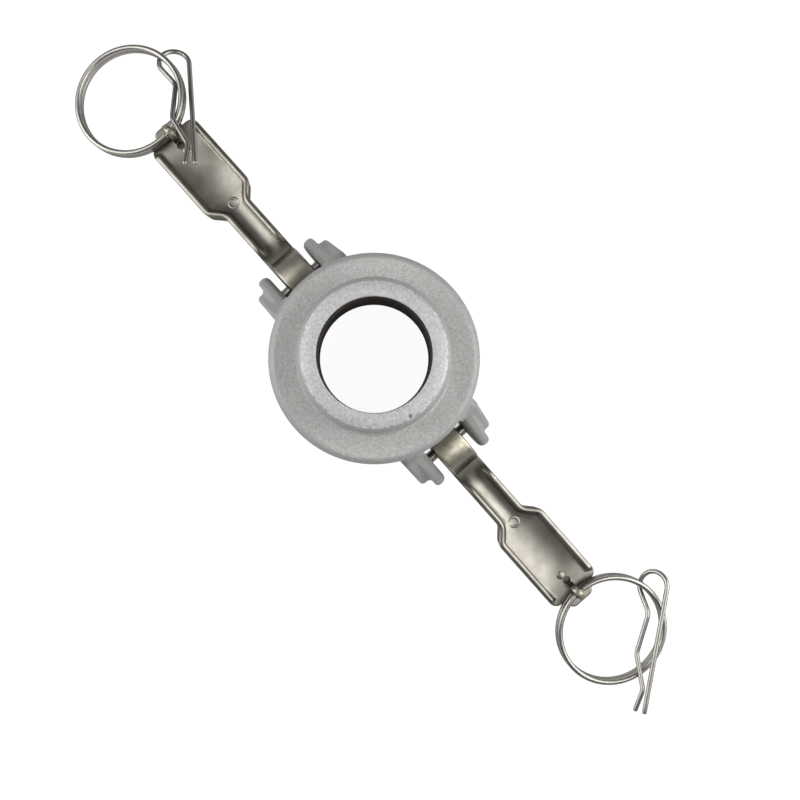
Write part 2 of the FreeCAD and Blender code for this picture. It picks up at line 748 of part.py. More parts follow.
def clip_placement(ring, letter):
    """A clip whose bow goes round the ring's wire."""
    place = math.radians(size(f"clip_{letter}_place"))
    reach = size(f"ring_radius + clip_{letter}_out")
    seat = moved(reach * math.cos(place), reach * math.sin(place), size(f"clip_{letter}_lift"))
    lie = seat.multiply(turned(AXIS_Z, size(f"clip_{letter}_heading")))
    lie = lie.multiply(turned(AXIS_Y, size(f"clip_{letter}_pitch")))
    lie = lie.multiply(turned(AXIS_X, size(f"clip_{letter}_roll")))
    bow_centre = moved(-size("clip_leg"), -size("clip_bow"))
    return ring.multiply(lie).multiply(bow_centre)


def make_side(letter, facing):
    """One arm with its pin, ring and clip, turned about Z to face its way."""
    side = turned(AXIS_Z, facing)
    arm = make_arm(f"cam_arm_{letter}")
    arm.Placement = side.multiply(arm_placement())
    pin = make_pin(f"pin_{letter}")
    half = size("ear_gap / 2 + ear_plate + ear_boss - pin_inset")
    pin_seat = moved(size("pin_offset"), half, size("pin_height")).multiply(turned(AXIS_X, 90))
    pin.Placement = side.multiply(pin_seat)
    ring_seat = side.multiply(ring_placement(letter))
    ring = feature(f"ring_{letter}", split_ring_shape())
    ring.Placement = ring_seat
    clip = feature(f"clip_{letter}", clip_shape())
    clip.Placement = clip_placement(ring_seat, letter)
    return [arm, pin, ring, clip]


casting = make_casting()
gasket = make_gasket()
gasket.Placement.Base = Vector(0, 0, size("socket_depth + gasket_play"))
doc.recompute()

SUB_PARTS = [casting, gasket]
SUB_PARTS += make_side("a", 0.0)
SUB_PARTS += make_side("b", 180.0)
doc.recompute()
for item in doc.Objects:
    if "Invalid" in item.State or "Error" in item.State:
        raise RuntimeError(f"{item.Name} failed: {item.State}")
for part in SUB_PARTS:
    if part.Shape.isNull() or not part.Shape.isValid():
        raise RuntimeError(f"{part.Label} has no valid shape")
    part.Shape.exportStep(f"parts/{part.Label}.step")
    print(part.Label, round(part.Shape.Volume, 1), len(part.Shape.Solids))
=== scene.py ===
import math

import bmesh
import bpy
from mathutils import Euler, Matrix, Vector


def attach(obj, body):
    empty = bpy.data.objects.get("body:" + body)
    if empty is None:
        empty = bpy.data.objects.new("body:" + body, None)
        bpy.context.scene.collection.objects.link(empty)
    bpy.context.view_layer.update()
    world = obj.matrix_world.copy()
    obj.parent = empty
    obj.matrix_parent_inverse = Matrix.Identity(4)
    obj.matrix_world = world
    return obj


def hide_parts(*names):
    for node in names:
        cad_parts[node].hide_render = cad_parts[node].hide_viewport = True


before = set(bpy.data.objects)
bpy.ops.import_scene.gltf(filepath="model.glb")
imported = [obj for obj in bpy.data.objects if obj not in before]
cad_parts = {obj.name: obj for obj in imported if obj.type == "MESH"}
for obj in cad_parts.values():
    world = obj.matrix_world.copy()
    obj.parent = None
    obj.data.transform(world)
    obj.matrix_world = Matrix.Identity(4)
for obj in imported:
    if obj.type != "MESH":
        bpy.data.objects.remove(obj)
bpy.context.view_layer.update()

# The casting, in metres
BORE_RADIUS = 0.0182
COLLAR_END = 0.06705
FACE_RADIUS = 0.0229
SHOULDER_TOP = 0.04505
BODY_RADIUS = 0.03527
PIN_OFFSET = 0.0386
PIN_HEIGHT = 0.016
PIN_RADIUS = 0.002
PIN_PLAY = 0.00005
FLOOR_PLAY = 0.00005
EAR_GAP = 0.0164
EAR_RADIUS = 0.0096
EAR_TOP = 0.036

# The small pit in the collar's face
PIT_PLACE = (0.0219, -0.0044)
PIT_RADIUS = 0.0009
PIT_DEPTH = 0.0003

# The rounding of the ears: its radius, how far inside the wall it starts, how much of the sloped back it
# covers, how far its cutter stands clear, and points along the ear's arc and round the rounding
EAR_TIP_ROUND = 0.0021
EAR_ROOT = 0.0003
EAR_BACK_SHARE = 0.97
CUTTER_MARGIN = 0.0006
EAR_ARC_STEPS = 40
EAR_ROUND_STEPS = 10

# What counts as the bore's wall: how far past its radius, and how steep
BORE_SLACK = 0.00006
BORE_STEEPNESS = 0.7

# Angles in degrees beyond which an edge stays sharp
CREASE = 35.0
CASTING_CREASE = 30.0

# The cam arm, measured from its pin
CAM_RADIUS = 0.0100
CAM_CENTRE = (0.000345, 0.00298)
CAM_HALF = 0.00545
CAM_ROUND = 0.0009
NECK_HALF = 0.0056
NECK_LENGTH = 0.0357
SHOULDER = 0.005
PADDLE_HALF = 0.0102
PADDLE_END = 0.073
PADDLE_ROUND = 0.0032
SWEEP = 0.0045
TAB_HALF = 0.0054
TAB_END = 0.0773
TAB_ROUND = 0.0026
WEB = 0.0022
SKIRT = 0.0047
DRAFT = 0.0006

# The rims along the arm's edges: they rise behind the cam and end before the tab
RIM_WIDTH = 0.0025
RIM_RISE = 0.00115
RIM_START = 0.0152
RIM_FADE = 0.005
RIM_END = 0.0690
RIM_LEAD = 0.001
RIM_TAIL = 0.002
RIDGE_CREST = 0.0013
RIDGE_FOOT = 0.0031
RIDGE_BROW = 0.0008
EDGE_ROUND = 0.0006

# The web's valley behind the cam and its trough between the rims: depths, and where each starts and ends
VALLEY_DEPTH = 0.0006
VALLEY_START = (0.009, 0.0112)
VALLEY_END = (0.0125, 0.0185)
NECK_TROUGH = 0.00045
PADDLE_TROUGH = 0.00035
TROUGH_START = (0.013, 0.018)
TROUGH_END = (0.058, 0.068)

# Where the arm starts to be open below, and the corner at the paddle's end from which it is closed again
OPENING = (0.0145, 0.0165)
END_REACH = 0.01
END_TURN = 0.1

# The rounded foot of the arm's walls, as steps in from the edge and up
FOOT_STEPS = ((0.0006, 0.0), (0.0003, 0.00008), (0.00008, 0.0003), (0.0, 0.0006))

# Points along the arm's edge: closer together from before the rims' rise to after it, and before their end
MILLIMETRE = 0.001
RISE_BEFORE = 0.006
RISE_AFTER = 0.004
FADE_BEFORE = 0.003
SPARSE_STEPS = 6
DENSE_STEPS = 24
NECK_STEPS = 16
PADDLE_STEPS = 24
FADE_STEPS = 10
CORNER_STEPS = 10
TAB_STEPS = 4

# How far in from the edge the section's points lie, in millimetres, and how many more cross the web
EDGE_STEPS = (
    0.0, 0.06, 0.16, 0.3, 0.5, 0.7, 0.9, 1.1, 1.3, 1.5, 1.7, 1.9, 2.1, 2.3, 2.5, 2.7, 2.9, 3.1,
)
WEB_STEPS = 10
LEAST_HALF = 0.0001

# The strap that holds the ring, the relief hole beside it and the two round marks
STRAP_REACH = 0.0722
STRAP_EYE = 0.0025
STRAP_SPRING = 0.00335
STRAP_THICKNESS = 0.00085
STRAP_WIDTH = 0.0023
STRAP_ROUND = 0.0004
RELIEF_REACH = 0.06715
RELIEF_RADIUS = 0.0015
RELIEF_DEPTH = 0.001
RING_MARK = (0.0381, -0.0004)
RING_MARK_RADII = (0.00125, 0.0023)
DOT_MARK = (0.0646, -0.0005)
DOT_MARK_RADIUS = 0.00155
MARK_HEIGHT = 0.00022
MARK_ROOT = 0.0005
MARK_CORNER = 0.0001
MARK_SLOPE = 0.00025

# Points round the arm's turned forms, along the strap's arch and round its section's corners
CAM_STEPS = 96
CAM_ROUND_STEPS = 6
HOLE_STEPS = 40
ARCH_STEPS = 20
STRAP_CORNER_STEPS = 3

# How much shade is painted in the arm's relief hole, on its walls, behind the cam and in the grooves beside
# its rims
RELIEF_SHADE = 0.75
WALL_SHADE = 0.45
CAM_SHADE = 0.75
GROOVE_SHADE = 0.6
RELIEF_MARGIN = 1.05
PADDLE_GROOVE_LOSS = 0.7

# Where that painted shade begins and ends: along the arm, and in from its edge
CAM_SHADE_START = (0.0085, 0.0105)
CAM_SHADE_END = (0.0155, 0.0205)
RIM_SHADE_START = (RIM_START, RIM_START + 0.003)
RIM_SHADE_END = (RIM_END - 0.001, RIM_END)
GROOVE_START = (0.0017, 0.0024)
GROOVE_END = (0.0028, 0.0036)
WALL_EDGE = (-0.0001, 0.0004)

# Where the painted highlight on the cam's face begins: up from the pin, and its ends towards the web and back
# from the pin
CAM_HIGHLIGHT_START = (0.001, 0.004)
CAM_HIGHLIGHT_END = (0.002, 0.0078)
CAM_HIGHLIGHT_BACK = (0.001, 0.006)
# How strong the painted highlight is on each arm's cam, and on the strap's arch
CAM_HIGHLIGHT_SHARE = {"a": 0.8, "b": 0.2}
STRAP_HIGHLIGHT_SHARE = 0.5

# Which way each arm points, in radians about the pipe axis
ARM_FACING = {"a": 0.0, "b": math.pi}

# The split rings: sizes, ramp and end gap in degrees, the ramp's place in degrees, which is in the strap
RING_RADIUS = 0.0196
RING_WIDTH = 0.0020
RING_HEIGHT = 0.00235
RING_GAP = 0.0001
RING_OUTER_ROUND = 0.00095
RING_INNER_ROUND = 0.0003
RING_RAMP = 11.0
RING_END_GAP = 0.6
RING_RAMP_PLACE = 180.0
TURN_STEPS = 120
RAMP_STEPS = 16
RING_CORNER_STEPS = 6

# How each ring lies: facing, turn, fall and lean in degrees, and how high it sits in the strap
RING_LIES = {
    "a": (0.0, 1.1, 10.1198, 0.0, 0.0001),
    "b": (180.0, 9.0, 10.9362, -3.0, 0.0008),
}

# The spring clips: sizes along and away from the straight leg, and how their ends' edges are broken
CLIP_WIRE = 0.0009
CLIP_LEG = 0.0459
CLIP_BOW = 0.0054
CLIP_CORNERS = ((0.0439, 0.0108), (0.0358, 0.0053), (0.0204, 0.0072), (0.0083, 0.0021), (-0.0001, 0.0038))
CLIP_BEND = 0.005
CLIP_ENDS = ((0.0, 0.0003), (0.00008, 0.00055), (0.00028, 0.00076), (0.00055, 0.00087), (0.0008, CLIP_WIRE))
LEG_STEPS = 10
BOW_STEPS = 32
BEND_STEPS = 8
WIRE_SIDES = 20

# How each clip lies: place along the ring in degrees, bow's centre outwards and up, heading, pitch and roll
CLIP_LIES = {
    "a": (93.0, 0.0023, 0.0004, 127.1, 4.0, -47.7),
    "b": (-94.3, 0.0015, -0.00465, -39.8, 18.8, 21.4),
}

# Colours: pairs run from dark to light
BODY_TONES = ((0.28, 0.28, 0.272), (0.53, 0.53, 0.518))
# The ears' darker tones are painted shade
EAR_SHADE_TONES = ((0.20, 0.20, 0.194), (0.36, 0.36, 0.35))
FACE_TONES = ((0.31, 0.31, 0.315), (0.55, 0.55, 0.56))
# The collar side's darker tones are painted shade
COLLAR_SHADE_TONES = ((0.25, 0.25, 0.24), (0.36, 0.36, 0.35))
# The bore's dark brown: its skin, darkened with painted shade
BORE_SKIN_AND_SHADE_TONES = ((0.036, 0.025, 0.019), (0.074, 0.054, 0.043))
ARM_TONES = ((0.205, 0.194, 0.168), (0.295, 0.280, 0.247))
PIN_TONES = ((0.26, 0.25, 0.235), (0.36, 0.345, 0.32))
WIRE_TONES = ((0.29, 0.28, 0.26), (0.36, 0.348, 0.325))
RUBBER_TONES = ((0.018, 0.018, 0.018), (0.04, 0.04, 0.038))
BLOTCH_TONE = (0.36, 0.36, 0.35)
# Painted shade on the flange's rounded rim
RIM_SHADE_TONE = (0.2, 0.2, 0.194)
WORN_TONE = (0.66, 0.66, 0.66)
DIRT_TONE = (0.12, 0.12, 0.125)
# Painted shade in the collar face's pit
PIT_SHADE_TONE = (0.12, 0.12, 0.115)
# Painted shade on the arm
ARM_SHADE_TONE = (0.05, 0.045, 0.036)
# Painted highlight, golden, on the cam and the strap's arch
HIGHLIGHT_TONE = (0.52, 0.49, 0.37)

# Where the casting's looks change: heights below or above a level, and distances from a radius
FACE_FADE = (-0.0004, -0.0001)
BEVEL_FADE = (0.0002, 0.002)
EAR_FADE = (-0.0002, 0.0012)
RIM_OUTWARD = (-0.0026, -0.0012)
RIM_UPWARD = (-0.0045, -0.0025)
WEAR_UPWARD = (-0.0014, -0.0004)
WEAR_REACH = (0.0001, 0.0004)

# Ranges of a noise: the middle that is stretched, the specks that are worn, those that are dirty, and the
# patches of the painted highlight
NOISE_MIDDLE = (0.3, 0.7)
WORN_SPECKS = (0.52, 0.66)
DIRTY_SPECKS = (0.46, 0.34)
HIGHLIGHT_PATCHES = (0.35, 0.65)

# How strongly each is laid over the colour below it
BLOTCH_SHARE = 0.3
RIM_SHARE = 0.45
WEAR_SHARE = 0.6
PIT_SHARE = 0.75
LEAST_HIGHLIGHT = 0.35

# The photograph's camera
IMAGE_SIDE = 800
FOCAL_PIXELS = 1177.57
SENSOR = 36.0
NEAREST = 0.01
CAMERA_PLACE = (0.013491, -0.013091, 0.434382)
CAMERA_TURN = (0.0126, -0.0240, 0.8447)

# Light of the sky: overhead, and what the horizon adds at the camera's sides and before it
SKY_TOP = 0.19
SKY_SIDE = 0.32
SKY_FRONT = -0.12
SKY_RISE = (0.15, 0.95)
SKY_TURN = (0.1, 0.8)

# The lamps: azimuth from the image's right side and elevation in degrees, height in metres, and power
LAMP_DISTANCE = 0.6
LAMP_WIDTH = 0.5
LAMPS = {
    "left_box": (170, 48, 0.5, 2.1),
    "right_box": (-5, 48, 0.5, 2.7),
    "low_left_box": (180, 20, 0.25, 1.2),
    "low_right_box": (0, 20, 0.25, 1.2),
}

# The floor: half its side, how light it is, and how brightly it shines where it is seen
FLOOR_HALF = 3.0
FLOOR_TONE = 0.15
FLOOR_GLOW = 0.95


# Node helpers

def new_material(name):
    material = bpy.data.materials.new(name)
    material.use_nodes = True
    tree = material.node_tree
    tree.nodes.clear()
    output = tree.nodes.new("ShaderNodeOutputMaterial")
    shader = tree.nodes.new("ShaderNodeBsdfPrincipled")
    tree.links.new(shader.outputs["BSDF"], output.inputs["Surface"])
    return material, tree, shader


def place_output(tree):
    return tree.nodes.new("ShaderNodeTexCoord").outputs["Object"]


def point_value(tree, name):
    """A value that is stored at the points of the mesh."""
    node = tree.nodes.new("ShaderNodeAttribute")
    node.attribute_name = name
    return node.outputs["Fac"]


def noise(tree, place, scale, detail=3.0, roughness=0.5):
    node = tree.nodes.new("ShaderNodeTexNoise")
    node.inputs["Scale"].default_value = scale
    node.inputs["Detail"].default_value = detail
    node.inputs["Roughness"].default_value = roughness
    tree.links.new(place, node.inputs["Vector"])
    return node.outputs["Fac"]


def remap(tree, value, low, high, to_low=0.0, to_high=1.0):
    node = tree.nodes.new("ShaderNodeMapRange")
    node.inputs["From Min"].default_value = low
    node.inputs["From Max"].default_value = high
    node.inputs["To Min"].default_value = to_low
    node.inputs["To Max"].default_value = to_high
    tree.links.new(value, node.inputs["Value"])
    return node.outputs["Result"]


def across_fade(tree, value, level, distances, share=1.0):
    """Rises from 0 to a share between two distances from a level."""
    return remap(tree, value, level + distances[0], level + distances[1], 0.0, share)


def math_node(tree, operation, first, second=None):
    node = tree.nodes.new("ShaderNodeMath")
    node.operation = operation
    for index, value in enumerate((first, second)):
        if value is None:
            continue
        if isinstance(value, (int, float)):
            node.inputs[index].default_value = value
        else:
            tree.links.new(value, node.inputs[index])
    return node.outputs["Value"]


def mix_colour(tree, factor, first, second):
    node = tree.nodes.new("ShaderNodeMix")
    node.data_type = "RGBA"
    tree.links.new(factor, node.inputs["Factor"])
    for name, value in (("A", first), ("B", second)):
        socket = [item for item in node.inputs if item.name == name and item.type == "RGBA"][0]
        if isinstance(value, tuple):
            socket.default_value = (*value, 1.0)
        else:
            tree.links.new(value, socket)
    return [item for item in node.outputs if item.type == "RGBA"][0]


def speckled(tree, value, tones):
    """A colour that runs from dark to light over a noise's middle range."""
    return mix_colour(tree, remap(tree, value, *NOISE_MIDDLE), *tones)


def bump(tree, shader, height, distance, strength):
    node = tree.nodes.new("ShaderNodeBump")
    node.inputs["Strength"].default_value = strength
    node.inputs["Distance"].default_value = distance
    tree.links.new(height, node.inputs["Height"])
    tree.links.new(node.outputs["Normal"], shader.inputs["Normal"])


# Mesh helpers

def smooth_share(value, low, high):
    """Rises smoothly from 0 at low to 1 at high."""
    share = min(max((value - low) / (high - low), 0.0), 1.0)
    return share * share * (3.0 - 2.0 * share)


def band(value, start, end):
    """Rises smoothly to 1 over the start and falls again over the end."""
    return smooth_share(value, *start) * (1.0 - smooth_share(value, *end))


def shade_smooth(mesh, crease):
    """Smooths the shading of a mesh except across edges sharper than an angle in degrees."""
    for polygon in mesh.polygons:
        polygon.use_smooth = True
    mesh.set_sharp_from_angle(angle=math.radians(crease))


def mesh_object(name, builder):
    """Makes an object from the faces built so far, turned outwards and smoothly shaded."""
    bmesh.ops.remove_doubles(builder, verts=builder.verts, dist=0.000001)
    bmesh.ops.recalc_face_normals(builder, faces=builder.faces)
    mesh = bpy.data.meshes.new(name)
    builder.to_mesh(mesh)
    builder.free()
    shade_smooth(mesh, CREASE)
    item = bpy.data.objects.new(name, mesh)
    bpy.context.scene.collection.objects.link(item)
    return item


def add_loops(builder, loops, closed=False):
    """Joins loops of points into a skin, and closes its two ends unless the last loop meets the first."""
    rows = [[builder.verts.new(point) for point in loop] for loop in loops]
    count = len(rows[0])
    following = rows[1:] + (rows[:1] if closed else [])
    for row, other in zip(rows, following):
        for index in range(count):
            after = (index + 1) % count
            builder.faces.new((row[index], row[after], other[after], other[index]))
    if not closed:
        builder.faces.new(rows[0])
        builder.faces.new(rows[-1][::-1])


def spun_object(name, centre, profile, axis, steps):
    """A closed form turned about an axis through a centre, from (radius, height) pairs."""
    loops = []
    for step in range(steps):
        turn = 2.0 * math.pi * step / steps
        across, along = math.cos(turn), math.sin(turn)
        if axis == "Z":
            loop = [centre + Vector((radius * across, radius * along, height)) for radius, height in profile]
        else:
            loop = [centre + Vector((radius * across, height, radius * along)) for radius, height in profile]
        loops.append(loop)
    builder = bmesh.new()
    add_loops(builder, loops, closed=True)
    return mesh_object(name, builder)


def looped_object(name, loops):
    """A form with closed ends from loops of points."""
    builder = bmesh.new()
    add_loops(builder, loops)
    return mesh_object(name, builder)


def combined(base, other, operation):
    """Adds one form to another or takes it away, and removes it."""
    modifier = base.modifiers.new("join", "BOOLEAN")
    modifier.object = other
    modifier.operation = operation
    modifier.solver = "EXACT"
    shaped = base.evaluated_get(bpy.context.evaluated_depsgraph_get())
    mesh = bpy.data.meshes.new_from_object(shaped)
    base.modifiers.clear()
    base.data = mesh
    bpy.data.objects.remove(other)


def arc_points(centre, radius, start, end, steps, inward=False):
    """Points of an arc with their outward directions, angles in degrees."""
    points = []
    for step in range(steps + 1):
        turn = math.radians(start + (end - start) * step / steps)
        away = Vector((math.cos(turn), math.sin(turn)))
        points.append((Vector(centre) + away * radius, -away if inward else away))
    return points


def run_points(start, end, steps, outward):
    """Points of a straight stretch with their outward direction."""
    start, end = Vector(start), Vector(end)
    return [(start.lerp(end, step / steps), Vector(outward)) for step in range(steps + 1)]


def bar_outline(half_wide, half_high, roundings, steps):
    """Outline of a rounded bar, (outwards, up) pairs, with a rounding for each of its corners."""
    outline = []
    corners = ((1, 1, 0), (-1, 1, 90), (-1, -1, 180), (1, -1, 270))
    for (side, level, start), rounding in zip(corners, roundings):
        for step in range(steps + 1):
            turn = math.radians(start + 90 / steps * step)
            out = side * (half_wide - rounding) + rounding * math.cos(turn)
            outline.append((out, level * (half_high - rounding) + rounding * math.sin(turn)))
    return outline


# The casting

def ear_outline():
    """An ear's outline from its side with outward directions: level sole, arc about the pin, sloped back."""
    top = Vector((BODY_RADIUS - PIN_OFFSET, EAR_TOP - PIN_HEIGHT))
    slope = math.degrees(math.atan2(top.y, top.x) - math.acos(EAR_RADIUS / top.length))
    points = [(Vector((BODY_RADIUS - PIN_OFFSET - EAR_ROOT, -EAR_RADIUS)), Vector((0.0, -1.0)))]
    points += arc_points((0.0, 0.0), EAR_RADIUS, -90, slope, EAR_ARC_STEPS)
    points.append((points[-1][0].lerp(top, EAR_BACK_SHARE), points[-1][1]))
    return points


def ear_cutter():
    """What is taken off the inner rims of the four ears, so that their finger tips are full."""
    section = [(CUTTER_MARGIN, -CUTTER_MARGIN), (-EAR_TIP_ROUND, -CUTTER_MARGIN)]
    for step in range(EAR_ROUND_STEPS + 1):
        turn = math.radians(90 * step / EAR_ROUND_STEPS)
        section.append((EAR_TIP_ROUND * (math.sin(turn) - 1.0), EAR_TIP_ROUND * (1.0 - math.cos(turn))))
    section.append((CUTTER_MARGIN, EAR_TIP_ROUND))
    builder = bmesh.new()
    for end in (1.0, -1.0):
        for side in (1.0, -1.0):
            loops = []
            for point, outward in ear_outline():
                loop = []
                for out, deep in section:
                    place = point + outward * out
                    beside = side * (EAR_GAP / 2 + deep)
                    loop.append(Vector((end * (PIN_OFFSET + place.x), beside, PIN_HEIGHT + place.y)))
                loops.append(loop)
            add_loops(builder, loops)
    return mesh_object("ear_cutter", builder)


def pit_cutter():
    """The ball that leaves the small pit in the collar's face."""
    builder = bmesh.new()
    bmesh.ops.create_icosphere(builder, subdivisions=3, radius=PIT_RADIUS)
    centre = Vector((*PIT_PLACE, COLLAR_END + PIT_RADIUS - PIT_DEPTH))
    bmesh.ops.translate(builder, verts=builder.verts, vec=centre)
    return mesh_object("pit_cutter", builder)


def rounded_casting(name):
    """The casting with rounded ears and its pit, and the bore's faces marked for the second material."""
    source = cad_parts["coupler_body"]
    casting = bpy.data.objects.new(name, source.data.copy())
    casting.matrix_world = source.matrix_world.copy()
    bpy.context.scene.collection.objects.link(casting)
    combined(casting, ear_cutter(), "DIFFERENCE")
    combined(casting, pit_cutter(), "DIFFERENCE")
    for polygon in casting.data.polygons:
        across, along, _ = polygon.center
        near = math.hypot(across, along) < BORE_RADIUS + BORE_SLACK
        polygon.material_index = 1 if near and abs(polygon.normal.z) < BORE_STEEPNESS else 0
    shade_smooth(casting.data, CASTING_CREASE)
    return casting


# The cam arm, built along X from its pin, which lies along Y

def arm_edge():
    """The arm's left edge from the cam to the paddle's end, points with their outward directions."""
    slant = math.degrees(math.atan2(PADDLE_HALF - NECK_HALF, SHOULDER))
    setback = SWEEP * math.tan(math.radians(slant) / 2)
    neck_end = NECK_LENGTH - setback
    paddle_start = NECK_LENGTH + SHOULDER + setback
    round_start = PADDLE_END - PADDLE_ROUND
    rise_start = RIM_START - RISE_BEFORE
    rise_end = RIM_START + RISE_AFTER
    fade_start = RIM_END - FADE_BEFORE
    points = run_points((0.0, NECK_HALF), (rise_start, NECK_HALF), SPARSE_STEPS, (0, 1))
    points += run_points((rise_start, NECK_HALF), (rise_end, NECK_HALF), DENSE_STEPS, (0, 1))
    points += run_points((rise_end, NECK_HALF), (neck_end, NECK_HALF), NECK_STEPS, (0, 1))
    points += arc_points((neck_end, NECK_HALF + SWEEP), SWEEP, -90, slant - 90, CORNER_STEPS, True)
    points += arc_points((paddle_start, PADDLE_HALF - SWEEP), SWEEP, 90 + slant, 90, CORNER_STEPS)
    points += run_points((paddle_start, PADDLE_HALF), (fade_start, PADDLE_HALF), PADDLE_STEPS, (0, 1))
    points += run_points((fade_start, PADDLE_HALF), (round_start, PADDLE_HALF), FADE_STEPS, (0, 1))
    points += arc_points((round_start, PADDLE_HALF - PADDLE_ROUND), PADDLE_ROUND, 90, 0, CORNER_STEPS)
    points.append((Vector((PADDLE_END, TAB_HALF)), Vector((1, 0))))
    return points


def tab_edge():
    """The tab's left edge from the paddle to the arm's tip."""
    points = [(Vector((PADDLE_END, TAB_HALF)), Vector((0, 1)))]
    points += arc_points((TAB_END - TAB_ROUND, TAB_HALF - TAB_ROUND), TAB_ROUND, 90, 0, CORNER_STEPS)
    points += run_points((TAB_END, TAB_HALF - TAB_ROUND), (TAB_END, 0.0), TAB_STEPS, (1, 0))
    return points


def ridge_height(inset):
    """Height of the rounded rim at a distance in from the arm's edge."""
    if inset < RIDGE_CREST:
        share = (RIDGE_CREST - inset) / RIDGE_CREST
        return RIM_RISE - RIDGE_BROW * (1.0 - math.sqrt(1.0 - share * share))
    share = min((inset - RIDGE_CREST) / (RIDGE_FOOT - RIDGE_CREST), 1.0)
    return RIM_RISE * (0.5 + 0.5 * math.cos(math.pi * share))


def edge_drop(inset):
    """How far a plain rounded edge falls at a distance in from it."""
    share = max(1.0 - inset / EDGE_ROUND, 0.0)
    return EDGE_ROUND * (1.0 - math.sqrt(1.0 - share * share))


def web_height(along, across, half):
    """The web: a valley behind the cam, a trough between the rims, flat at the end."""
    valley = -VALLEY_DEPTH * band(along, VALLEY_START, VALLEY_END)
    deeper = smooth_share(along, NECK_LENGTH, NECK_LENGTH + 2 * SHOULDER)
    depth = NECK_TROUGH + PADDLE_TROUGH * deeper
    share = min(abs(across) / half, 1.0)
    return valley - band(along, TROUGH_START, TROUGH_END) * depth * (1.0 - share * share)


def arm_section(point, outward, low, open_below):
    """One loop round the arm: over the top from left to right, and back underneath."""
    rim = smooth_share(point.x, RIM_START - RIM_LEAD, RIM_START + RIM_FADE)
    rim *= 1.0 - smooth_share(point.x, RIM_END, RIM_END + RIM_TAIL)
    top = []
    for step in EDGE_STEPS:
        inset = step * MILLIMETRE
        place = point - outward * inset
        height = rim * ridge_height(inset) - (1.0 - rim) * edge_drop(inset)
        top.append(Vector((place.x, max(place.y, 0.0), height)))
    inner = top[-1]
    half = max(inner.y, LEAST_HALF)
    for place in top:
        place.z += web_height(place.x, place.y, half)
    for step in range(1, WEB_STEPS + 1):
        across = inner.y * (1.0 - step / WEB_STEPS)
        top.append(Vector((inner.x, across, web_height(inner.x, across, half))))
    draft = DRAFT * (low + WEB) / -SKIRT
    wall = point - outward * (RIM_WIDTH + draft)
    wall_across = max(wall.y, 0.0)
    roof = low + (-WEB - low) * open_below
    below = [
        Vector((inner.x, 0.0, roof)),
        Vector((wall.x, wall_across * 0.5, roof)),
        Vector((wall.x, wall_across, roof)),
        Vector((wall.x, wall_across, low)),
    ]
    for inset, lift in FOOT_STEPS:
        place = point - outward * (inset + draft)
        below.append(Vector((place.x, max(place.y, 0.0), low + lift)))
    other_top = [Vector((place.x, -place.y, place.z)) for place in top[-2::-1]]
    other_below = [Vector((place.x, -place.y, place.z)) for place in below[:0:-1]]
    return top + other_top + other_below + below


def lever_sections():
    """Loops round the arm from the cam to the tab's tip, where the walls below end at the tab."""
    foot = -WEB - SKIRT
    sections = []
    for point, outward in arm_edge():
        at_end = outward.x >= END_TURN and point.x >= PADDLE_END - END_REACH
        open_below = 0.0 if at_end else smooth_share(point.x, *OPENING)
        sections.append(arm_section(point, outward, foot, open_below))
    tab = tab_edge()
    sections.append(arm_section(*tab[0], foot, 0.0))
    for point, outward in tab:
        sections.append(arm_section(point, outward, -WEB, 0.0))
    return sections


def cam_head():
    """The eccentric cam, a disc with rounded rims."""
    profile = [(0.0, -CAM_HALF)]
    for step in range(CAM_ROUND_STEPS + 1):
        turn = math.radians(90 * step / CAM_ROUND_STEPS)
        radius = CAM_RADIUS - CAM_ROUND + CAM_ROUND * math.sin(turn)
        profile.append((radius, -CAM_HALF + CAM_ROUND - CAM_ROUND * math.cos(turn)))
    profile += [(radius, -height) for radius, height in profile[::-1]]
    centre = Vector((CAM_CENTRE[0], 0.0, CAM_CENTRE[1]))
    return spun_object("cam_head", centre, profile, "Y", CAM_STEPS)


def strap():
    """The strap's arch, rooted in the web."""
    middle = STRAP_EYE + STRAP_THICKNESS / 2
    near, far = STRAP_REACH - middle, STRAP_REACH + middle
    path = [((near, -WEB / 2), (-1, 0)), ((near, STRAP_SPRING), (-1, 0))]
    for step in range(1, ARCH_STEPS):
        turn = math.pi - math.pi * step / ARCH_STEPS
        away = (math.cos(turn), math.sin(turn))
        path.append(((STRAP_REACH + middle * away[0], STRAP_SPRING + middle * away[1]), away))
    path += [((far, STRAP_SPRING), (1, 0)), ((far, -WEB / 2), (1, 0))]
    section = bar_outline(STRAP_WIDTH / 2, STRAP_THICKNESS / 2, (STRAP_ROUND,) * 4, STRAP_CORNER_STEPS)
    loops = []
    for (along, up), (away_along, away_up) in path:
        loops.append([
            Vector((along + away_along * out, across, up + away_up * out))
            for across, out in section
        ])
    return looped_object("strap", loops)


def round_mark(place, inner, outer):
    """A low round ring on the web, or a dot where it has no inner radius."""
    along, across = place
    level = web_height(along, across, PADDLE_HALF)
    root = level - MARK_ROOT
    top = level + MARK_HEIGHT
    brow = top - MARK_CORNER
    profile = [(inner, root), (outer, root), (outer, level)]
    profile += [(outer - MARK_CORNER, brow), (outer - MARK_SLOPE, top)]
    if inner:
        profile += [(inner + MARK_SLOPE, top), (inner + MARK_CORNER, brow), (inner, level)]
    else:
        profile.append((0.0, top))
    return spun_object("mark", Vector((along, across, 0.0)), profile, "Z", HOLE_STEPS)


def hole_cutter(centre, radius, low, axis):
    """A rod that leaves a round hole."""
    profile = [(0.0, low), (radius, low), (radius, CAM_RADIUS), (0.0, CAM_RADIUS)]
    return spun_object("cutter", centre, profile, axis, HOLE_STEPS)


